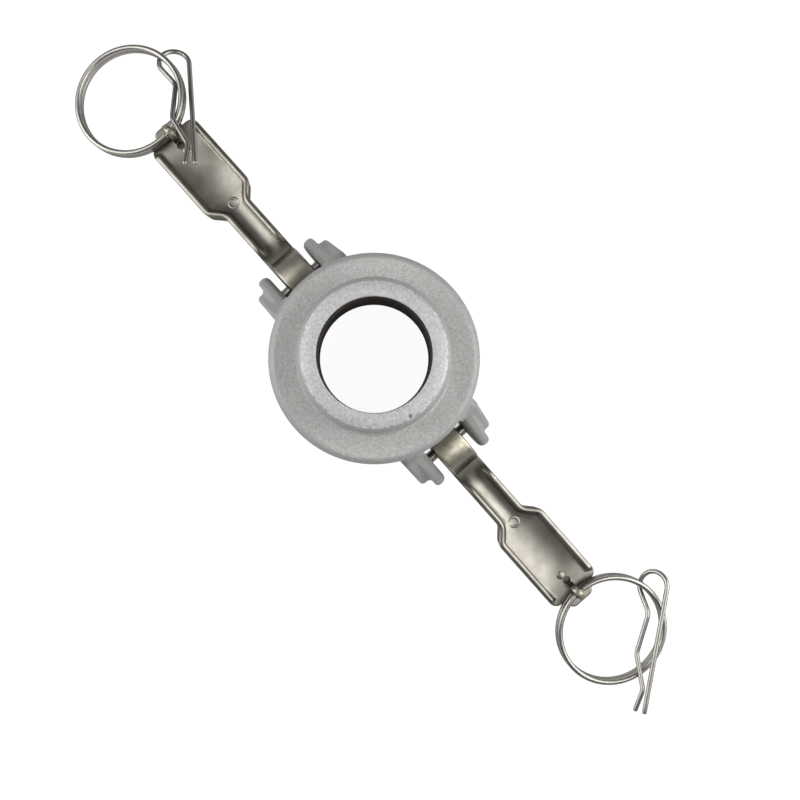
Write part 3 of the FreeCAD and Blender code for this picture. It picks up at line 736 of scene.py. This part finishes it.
def arm_mesh(name):
    """The cast arm: cam head, necked lever with rounded rims, tab with the strap for the ring."""
    arm = looped_object(name, lever_sections())
    combined(arm, cam_head(), "UNION")
    combined(arm, strap(), "UNION")
    combined(arm, round_mark(RING_MARK, *RING_MARK_RADII), "UNION")
    combined(arm, round_mark(DOT_MARK, 0.0, DOT_MARK_RADIUS), "UNION")
    relief = hole_cutter(Vector((RELIEF_REACH, 0.0, 0.0)), RELIEF_RADIUS, -RELIEF_DEPTH, "Z")
    combined(arm, relief, "DIFFERENCE")
    bore = hole_cutter(Vector((0.0, 0.0, 0.0)), PIN_RADIUS + PIN_PLAY, -CAM_RADIUS, "Y")
    combined(arm, bore, "DIFFERENCE")
    shade_smooth(arm.data, CREASE)
    return arm


def arm_painted_shade(place):
    """How much shade is painted on the arm: behind the cam, beside the rims, in the relief hole and on the
    walls.
    """
    across = abs(place.y)
    from_relief = math.hypot(place.x - RELIEF_REACH, across)
    if place.z < -RELIEF_DEPTH / 2 and from_relief < RELIEF_RADIUS * RELIEF_MARGIN:
        return RELIEF_SHADE
    if place.z < -WEB / 2:
        return WALL_SHADE
    widened = min(max((place.x - NECK_LENGTH) / SHOULDER, 0.0), 1.0)
    inset = NECK_HALF + (PADDLE_HALF - NECK_HALF) * widened - across
    behind_cam = band(place.x, CAM_SHADE_START, CAM_SHADE_END)
    groove = band(inset, GROOVE_START, GROOVE_END) * band(place.x, RIM_SHADE_START, RIM_SHADE_END)
    groove *= 1.0 - PADDLE_GROOVE_LOSS * smooth_share(place.x, NECK_LENGTH, NECK_LENGTH + SHOULDER)
    wall = 1.0 - smooth_share(inset, *WALL_EDGE)
    return max(CAM_SHADE * behind_cam, GROOVE_SHADE * groove, WALL_SHADE * wall)


def cam_highlight(place):
    """How strongly a highlight is painted on the cam's face at a place."""
    on_cam = smooth_share(place.z, *CAM_HIGHLIGHT_START) * (1.0 - smooth_share(place.x, *CAM_HIGHLIGHT_END))
    return on_cam * (1.0 - smooth_share(-place.x, *CAM_HIGHLIGHT_BACK))


def strap_highlight(place):
    """How strongly a highlight is painted on the strap's arch at a place."""
    return smooth_share(place.z, STRAP_SPRING, STRAP_SPRING + STRAP_EYE) if place.x > RIM_END else 0.0


def arm_highlight(place, shine):
    """How strongly a highlight is painted on the arm at a place, with a cam of its own shine."""
    return max(shine * cam_highlight(place), STRAP_HIGHLIGHT_SHARE * strap_highlight(place))


def arm_seat(facing):
    """Where an open arm lies, facing a way about the pipe axis."""
    drop = PIN_HEIGHT - FLOOR_PLAY
    depth = WEB + SKIRT
    fall = math.asin(drop / math.hypot(PADDLE_END, depth)) - math.atan2(depth, PADDLE_END)
    pin = Matrix.Translation((PIN_OFFSET, 0.0, PIN_HEIGHT))
    return Matrix.Rotation(facing, 4, "Z") @ pin @ Matrix.Rotation(fall, 4, "Y")


# The split rings

def ring_seat(facing, turn, fall, lean, seat):
    """Where a ring lies: it hangs in its strap and its far side rests on the floor."""
    hook = arm_seat(0.0) @ Vector((STRAP_REACH, 0.0, RING_HEIGHT + RING_GAP / 2 + seat))
    lie = Matrix.Rotation(math.radians(facing), 4, "Z") @ Matrix.Translation(hook)
    for angle, axis in ((turn, "Z"), (fall, "Y"), (lean, "X")):
        lie = lie @ Matrix.Rotation(math.radians(angle), 4, axis)
    return lie @ Matrix.Translation((RING_RADIUS, 0.0, 0.0))


def ring_stops():
    """Angles of the sections along the wire: lower turn, ramp and upper turn."""
    half_ramp = RING_RAMP / 2
    start = half_ramp + RING_END_GAP
    stretch = 360.0 - half_ramp - start
    stops = [start + stretch * step / TURN_STEPS for step in range(TURN_STEPS)]
    stops += [360.0 - half_ramp + RING_RAMP * step / RAMP_STEPS for step in range(RAMP_STEPS)]
    stops += [360.0 + half_ramp + stretch * step / TURN_STEPS for step in range(TURN_STEPS + 1)]
    return stops


def ring_mesh(name):
    """Two turns of one wire, well rounded outside and nearly square where the turns meet."""
    level = (RING_HEIGHT + RING_GAP) / 2
    loops = []
    for stop in ring_stops():
        share = smooth_share(stop, 360.0 - RING_RAMP / 2, 360.0 + RING_RAMP / 2)
        height = level * (2.0 * share - 1.0)
        top_round = RING_INNER_ROUND + (RING_OUTER_ROUND - RING_INNER_ROUND) * share
        foot_round = RING_OUTER_ROUND + (RING_INNER_ROUND - RING_OUTER_ROUND) * share
        roundings = (top_round, top_round, foot_round, foot_round)
        section = bar_outline(RING_WIDTH / 2, RING_HEIGHT / 2, roundings, RING_CORNER_STEPS)
        turn = math.radians(stop + RING_RAMP_PLACE)
        loops.append([
            Vector(((RING_RADIUS + out) * math.cos(turn), (RING_RADIUS + out) * math.sin(turn), height + up))
            for out, up in section
        ])
    return looped_object(name, loops)


# The spring clips

def clip_seat(ring, place, out, lift, heading, pitch, roll):
    """Where a clip lies, with its bow round the ring's wire."""
    turn = math.radians(place)
    reach = RING_RADIUS + out
    lie = ring @ Matrix.Translation((reach * math.cos(turn), reach * math.sin(turn), lift))
    for angle, axis in ((heading, "Z"), (pitch, "Y"), (roll, "X")):
        lie = lie @ Matrix.Rotation(math.radians(angle), 4, axis)
    return lie @ Matrix.Translation((-CLIP_LEG, -CLIP_BOW, 0.0))


def clip_path():
    """Points of the clip's wire with their directions: straight leg, bow, then the wavy leg."""
    path = [(Vector((CLIP_LEG * step / LEG_STEPS, 0.0)), Vector((1.0, 0.0))) for step in range(LEG_STEPS)]
    for step in range(BOW_STEPS + 1):
        turn = math.radians(-90 + 180 * step / BOW_STEPS)
        away = Vector((math.cos(turn), math.sin(turn)))
        path.append((Vector((CLIP_LEG, CLIP_BOW)) + away * CLIP_BOW, Vector((-away.y, away.x))))
    corners = [Vector(corner) for corner in CLIP_CORNERS]
    before = Vector((CLIP_LEG, 2 * CLIP_BOW))
    for corner, after in zip(corners, corners[1:]):
        inward = (corner - before).normalized()
        outward = (after - corner).normalized()
        half_turn = inward.angle(outward) / 2
        setback = CLIP_BEND * math.tan(half_turn)
        side = 1.0 if inward.cross(outward) > 0 else -1.0
        normal = Vector((-inward.y, inward.x)) * side
        hub = corner - inward * setback + normal * CLIP_BEND
        for step in range(BEND_STEPS + 1):
            swing = Matrix.Rotation(side * 2 * half_turn * step / BEND_STEPS, 2)
            path.append((hub - swing @ normal * CLIP_BEND, swing @ inward))
        before = corner
    path.append((corners[-1], (corners[-1] - corners[-2]).normalized()))
    return path


def clip_mesh(name):
    """The bent spring wire, with broken edges at its ends."""
    path = clip_path()
    first, last = path[0], path[-1]
    rows = [(first[0] + first[1] * inset, first[1], radius) for inset, radius in CLIP_ENDS]
    rows += [(point, direction, CLIP_WIRE) for point, direction in path[1:-1]]
    rows += [(last[0] - last[1] * inset, last[1], radius) for inset, radius in CLIP_ENDS[::-1]]
    turns = [2.0 * math.pi * step / WIRE_SIDES for step in range(WIRE_SIDES)]
    loops = []
    for point, direction, radius in rows:
        beside = Vector((-direction.y, direction.x, 0.0))
        centre = point.to_3d()
        loops.append([
            centre + beside * (radius * math.cos(turn)) + Vector((0.0, 0.0, radius * math.sin(turn)))
            for turn in turns
        ])
    return looped_object(name, loops)


# Materials

def casting_material():
    """Blasted sand-cast aluminium, cleaner on the collar's face, with painted shade on its side, the rim and
    the ears, and in the pit.
    """
    material, tree, shader = new_material("cast_aluminium")
    place = place_output(tree)
    split = tree.nodes.new("ShaderNodeSeparateXYZ")
    tree.links.new(place, split.inputs["Vector"])
    across = math_node(tree, "POWER", split.outputs["X"], 2.0)
    along = math_node(tree, "POWER", split.outputs["Y"], 2.0)
    radius = math_node(tree, "SQRT", math_node(tree, "ADD", across, along))
    height = split.outputs["Z"]

    grain = noise(tree, place, scale=1500.0, detail=4.0, roughness=0.65)
    blotch = noise(tree, place, scale=220.0)
    body = speckled(tree, grain, BODY_TONES)
    body = mix_colour(tree, remap(tree, blotch, *NOISE_MIDDLE, 0.0, BLOTCH_SHARE), body, BLOTCH_TONE)
    # Painted shade on the ears, outside the body's radius
    ears = mix_colour(tree, grain, *EAR_SHADE_TONES)
    colour = mix_colour(tree, across_fade(tree, radius, BODY_RADIUS, EAR_FADE), body, ears)

    # Painted shade on the flange's rounded rim, near the body's radius and the shoulder's height
    outward = across_fade(tree, radius, BODY_RADIUS, RIM_OUTWARD, RIM_SHARE)
    upward = across_fade(tree, height, SHOULDER_TOP, RIM_UPWARD)
    colour = mix_colour(tree, math_node(tree, "MULTIPLY", outward, upward), colour, RIM_SHADE_TONE)
    # Painted shade on the collar's side, above the shoulder
    on_collar = across_fade(tree, height, SHOULDER_TOP, BEVEL_FADE)
    colour = mix_colour(tree, on_collar, colour, speckled(tree, grain, COLLAR_SHADE_TONES))
    on_face = across_fade(tree, height, COLLAR_END, FACE_FADE)
    colour = mix_colour(tree, on_face, colour, speckled(tree, grain, FACE_TONES))

    from_edge = math_node(tree, "ABSOLUTE", math_node(tree, "SUBTRACT", radius, FACE_RADIUS))
    near_edge = remap(tree, from_edge, *WEAR_REACH, 1.0, 0.0)
    near_edge = math_node(tree, "MULTIPLY", near_edge, across_fade(tree, height, COLLAR_END, WEAR_UPWARD))
    flecks = noise(tree, place, scale=650.0, roughness=0.6)
    for specks, tone in ((WORN_SPECKS, WORN_TONE), (DIRTY_SPECKS, DIRT_TONE)):
        share = math_node(tree, "MULTIPLY", near_edge, remap(tree, flecks, *specks, 0.0, WEAR_SHARE))
        colour = mix_colour(tree, share, colour, tone)

    # Painted shade in the pit
    from_pit = tree.nodes.new("ShaderNodeVectorMath")
    from_pit.operation = "DISTANCE"
    from_pit.inputs[1].default_value = (*PIT_PLACE, COLLAR_END)
    tree.links.new(place, from_pit.inputs[0])
    pit_shade = remap(tree, from_pit.outputs["Value"], PIT_RADIUS * 0.5, PIT_RADIUS, PIT_SHARE, 0.0)
    colour = mix_colour(tree, pit_shade, colour, PIT_SHADE_TONE)

    tree.links.new(colour, shader.inputs["Base Color"])
    shader.inputs["Metallic"].default_value = 0.3
    tree.links.new(remap(tree, grain, *NOISE_MIDDLE, 0.5, 0.64), shader.inputs["Roughness"])
    sand = noise(tree, place, scale=1100.0, roughness=0.7)
    bump(tree, shader, sand, distance=0.00012, strength=0.6)
    return material


def bore_skin_and_shade_material():
    """The unmachined bore's dark brown skin, darkened further with painted shade."""
    material, tree, shader = new_material("bore_skin_and_shade")
    place = place_output(tree)
    cloud = noise(tree, place, scale=420.0, roughness=0.6)
    tree.links.new(speckled(tree, cloud, BORE_SKIN_AND_SHADE_TONES), shader.inputs["Base Color"])
    shader.inputs["Roughness"].default_value = 0.85
    shader.inputs["Specular IOR Level"].default_value = 0.05
    bump(tree, shader, noise(tree, place, scale=1100.0), distance=0.0001, strength=0.5)
    return material


def steel_material(name, tones, gloss, grain_scale, relief=0.12, edge=0.3, painted_light=False):
    """Stainless steel whose colour and gloss vary a little over its surface."""
    material, tree, shader = new_material(name)
    place = place_output(tree)
    cloud = noise(tree, place, scale=120.0, roughness=0.55)
    grain = noise(tree, place, scale=grain_scale, detail=2.0, roughness=0.6)
    colour = speckled(tree, cloud, tones)
    if painted_light:
        # Painted shade, then a painted highlight in patches, from values stored at the mesh's points
        colour = mix_colour(tree, point_value(tree, "painted_shade"), colour, ARM_SHADE_TONE)
        patches = noise(tree, place, scale=420.0, roughness=0.6)
        patches = remap(tree, patches, *HIGHLIGHT_PATCHES, LEAST_HIGHLIGHT, 1.0)
        painted_highlight = math_node(tree, "MULTIPLY", point_value(tree, "painted_highlight"), patches)
        colour = mix_colour(tree, painted_highlight, colour, HIGHLIGHT_TONE)
    tree.links.new(colour, shader.inputs["Base Color"])
    shader.inputs["Metallic"].default_value = 1.0
    shader.inputs["Specular Tint"].default_value = (edge, edge, edge, 1.0)
    tree.links.new(remap(tree, grain, *NOISE_MIDDLE, *gloss), shader.inputs["Roughness"])
    if relief:
        bump(tree, shader, grain, distance=0.00002, strength=relief)
    return material


def rubber_material():
    """Matt black rubber."""
    material, tree, shader = new_material("black_rubber")
    place = place_output(tree)
    cloud = noise(tree, place, scale=300.0)
    tree.links.new(mix_colour(tree, cloud, *RUBBER_TONES), shader.inputs["Base Color"])
    shader.inputs["Roughness"].default_value = 0.62
    bump(tree, shader, noise(tree, place, scale=900.0), distance=0.00004, strength=0.5)
    return material


# The pieces

def dress(node, material):
    """Gives one of the part's own solids its material."""
    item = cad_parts[node]
    item.data.materials.clear()
    item.data.materials.append(material)


def replace_node(piece, seat, materials, node, body):
    """Seats a piece on a moving body in place of one of the part's solids."""
    piece.data.transform(seat)
    indices = [polygon.material_index for polygon in piece.data.polygons]
    piece.data.materials.clear()
    for material in materials:
        piece.data.materials.append(material)
    for polygon, index in zip(piece.data.polygons, indices):
        polygon.material_index = min(index, len(materials) - 1)
    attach(piece, body)
    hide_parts(node)


def store_points(piece, name, value_at):
    """Stores a value at each point of a piece."""
    values = piece.data.attributes.new(name, "FLOAT", "POINT")
    for vertex in piece.data.vertices:
        values.data[vertex.index].value = value_at(vertex.co)


CASTING = casting_material()
BORE_SKIN_AND_SHADE = bore_skin_and_shade_material()
ARM = steel_material("arm_steel", ARM_TONES, (0.32, 0.40), 500.0, painted_light=True)
PIN = steel_material("pin_steel", PIN_TONES, (0.2, 0.3), 700.0)
WIRE = steel_material("bright_wire", WIRE_TONES, (0.31, 0.35), 200.0, relief=0.0, edge=0.2)

dress("gasket", rubber_material())
casting = rounded_casting("rounded_casting")
replace_node(casting, Matrix.Identity(4), (CASTING, BORE_SKIN_AND_SHADE), "coupler_body", "coupler")

for letter in ("a", "b"):
    shine = CAM_HIGHLIGHT_SHARE[letter]
    lever = arm_mesh(f"lever_{letter}")
    # Shade and a highlight painted on the arm, stored at its points
    store_points(lever, "painted_shade", arm_painted_shade)
    store_points(lever, "painted_highlight", lambda place: arm_highlight(place, shine))
    replace_node(lever, arm_seat(ARM_FACING[letter]), (ARM,), f"cam_arm_{letter}", f"arm_{letter}")
    dress(f"pin_{letter}", PIN)
    ring_place = ring_seat(*RING_LIES[letter])
    ring = ring_mesh(f"split_ring_{letter}")
    replace_node(ring, ring_place, (WIRE,), f"ring_{letter}", f"ring_{letter}")
    clip = clip_mesh(f"spring_clip_{letter}")
    clip_place = clip_seat(ring_place, *CLIP_LIES[letter])
    replace_node(clip, clip_place, (WIRE,), f"clip_{letter}", f"clip_{letter}")


# Floor, camera and light

def make_floor():
    """A white floor that shines only where it is seen, straight or in a reflection."""
    mesh = bpy.data.meshes.new("floor")
    builder = bmesh.new()
    bmesh.ops.create_grid(builder, x_segments=1, y_segments=1, size=FLOOR_HALF)
    builder.to_mesh(mesh)
    builder.free()
    floor = bpy.data.objects.new("floor", mesh)
    bpy.context.scene.collection.objects.link(floor)
    material = bpy.data.materials.new("white_floor")
    material.use_nodes = True
    tree = material.node_tree
    tree.nodes.clear()
    output = tree.nodes.new("ShaderNodeOutputMaterial")
    matte = tree.nodes.new("ShaderNodeBsdfDiffuse")
    matte.inputs["Color"].default_value = (FLOOR_TONE, FLOOR_TONE, FLOOR_TONE, 1.0)
    glow = tree.nodes.new("ShaderNodeEmission")
    path = tree.nodes.new("ShaderNodeLightPath")
    seen = math_node(tree, "MAXIMUM", path.outputs["Is Camera Ray"], path.outputs["Is Glossy Ray"])
    seen = math_node(tree, "MAXIMUM", seen, path.outputs["Is Transmission Ray"])
    tree.links.new(math_node(tree, "MULTIPLY", seen, FLOOR_GLOW), glow.inputs["Strength"])
    both = tree.nodes.new("ShaderNodeAddShader")
    tree.links.new(matte.outputs["BSDF"], both.inputs[0])
    tree.links.new(glow.outputs["Emission"], both.inputs[1])
    tree.links.new(both.outputs["Shader"], output.inputs["Surface"])
    mesh.materials.append(material)


def make_world():
    """A studio that is bright round the horizon, most of all beside the camera, and dim overhead."""
    world = bpy.data.worlds.new("studio")
    world.use_nodes = True
    tree = world.node_tree
    background = tree.nodes["Background"]
    path = tree.nodes.new("ShaderNodeLightPath")
    split = tree.nodes.new("ShaderNodeSeparateXYZ")
    tree.links.new(tree.nodes.new("ShaderNodeTexCoord").outputs["Generated"], split.inputs["Vector"])
    along = math_node(tree, "MULTIPLY", split.outputs["X"], math.cos(CAMERA_TURN[2]))
    across = math_node(tree, "MULTIPLY", split.outputs["Y"], math.sin(CAMERA_TURN[2]))
    sideways = math_node(tree, "ABSOLUTE", math_node(tree, "ADD", along, across))
    flat = remap(tree, split.outputs["Z"], *SKY_RISE, 1.0, 0.0)
    beside = remap(tree, sideways, *SKY_TURN, SKY_FRONT, SKY_SIDE)
    light = math_node(tree, "ADD", math_node(tree, "MULTIPLY", flat, beside), SKY_TOP)
    strength = math_node(tree, "MAXIMUM", light, path.outputs["Is Camera Ray"])
    background.inputs["Color"].default_value = (1.0, 1.0, 1.0, 1.0)
    tree.links.new(strength, background.inputs["Strength"])
    bpy.context.scene.world = world


def softbox(name, azimuth, elevation, height, power):
    """A rectangular lamp that faces the object."""
    data = bpy.data.lights.new(name, "AREA")
    data.shape = "RECTANGLE"
    data.size = LAMP_WIDTH
    data.size_y = height
    data.energy = power
    lamp = bpy.data.objects.new(name, data)
    bpy.context.scene.collection.objects.link(lamp)
    turn = CAMERA_TURN[2] + math.radians(azimuth)
    rise = math.radians(elevation)
    direction = Vector((math.cos(rise) * math.cos(turn), math.cos(rise) * math.sin(turn), math.sin(rise)))
    lamp.location = direction * LAMP_DISTANCE
    lamp.rotation_euler = direction.to_track_quat("Z", "Y").to_euler()


def make_camera():
    data = bpy.data.cameras.new("camera")
    data.sensor_width = SENSOR
    data.lens = FOCAL_PIXELS / IMAGE_SIDE * SENSOR
    data.clip_start = NEAREST
    camera = bpy.data.objects.new("camera", data)
    camera.location = CAMERA_PLACE
    camera.rotation_euler = Euler(CAMERA_TURN, "XYZ")
    bpy.context.scene.collection.objects.link(camera)
    bpy.context.scene.camera = camera


make_floor()
make_world()
for lamp_name, lamp_settings in LAMPS.items():
    softbox(lamp_name, *lamp_settings)
make_camera()
bpy.context.scene.view_settings.view_transform = "Standard"
